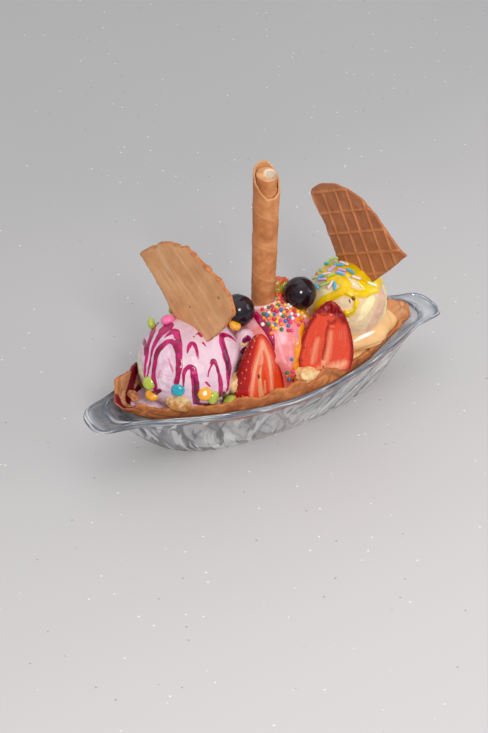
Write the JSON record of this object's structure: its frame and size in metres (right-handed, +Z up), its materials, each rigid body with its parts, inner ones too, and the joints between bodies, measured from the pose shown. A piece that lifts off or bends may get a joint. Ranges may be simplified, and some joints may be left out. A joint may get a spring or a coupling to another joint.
{
  "type": "banana split",
  "caption": "Banana split in a boat-shaped pressed-glass dish: ice cream scoops in a wafer shell, with fruit, wafers, sauce, sprinkles and sweets.",
  "frame": {"origin": "on the floor, in the middle of the flat foot of the glass dish", "axes": "+X along the dish towards the lip beside the pale yellow scoop, +Y across the dish towards its back, +Z up"},
  "size_m": [0.238, 0.0872, 0.1633],
  "materials": {
    "dish_glass": "clear pressed glass with a fire-polished rim",
    "wafer": "dry baked wafer, matte, browned edges",
    "flat_wafer": "dry baked wafer, faint diagonal grain, matte",
    "waffle": "dry baked waffle, matte, paler ribs",
    "melted_cream": "melted ice cream, wet and glossy",
    "berry_ice_cream": "soft ice cream with glossy dark pink sauce",
    "pink_ice_cream": "soft ice cream with hard sugar beads",
    "cream_ice_cream": "soft ice cream with glossy yellow sauce and sugar rods",
    "black_grape": "smooth dark skin, high gloss",
    "strawberry": "moist cut face, glossy seeded skin",
    "banana": "moist soft fruit",
    "sweet_green": "sugar shell, glossy",
    "sweet_pink": "sugar shell, glossy",
    "sweet_yellow": "sugar shell, glossy",
    "sweet_blue": "sugar shell, glossy"
  },
  "bodies": {
    "root": {"glass_dish": "dish_glass", "wafer_shell": "wafer", "melted_cream": "melted_cream", "rolled_wafer": "wafer", "wafer_piece": "flat_wafer", "waffle_piece": "waffle", "grape_left": "black_grape", "grape_right": "black_grape", "strawberry_half_left": "strawberry", "strawberry_half_right": "strawberry", "strawberry_piece": "strawberry", "banana_piece_left": "banana", "banana_piece_middle": "banana", "banana_piece_right": "banana", "scoop_pink": "pink_ice_cream", "scoop_cream": "cream_ice_cream", "scoop_berry": "berry_ice_cream", "candy_1": "sweet_green", "candy_2": "sweet_pink", "candy_3": "sweet_green", "candy_4": "sweet_green", "candy_5": "sweet_yellow", "candy_6": "sweet_blue", "candy_7": "sweet_yellow", "candy_8": "sweet_green", "candy_9": "sweet_green", "candy_10": "sweet_yellow"}
  },
  "joints": []
}
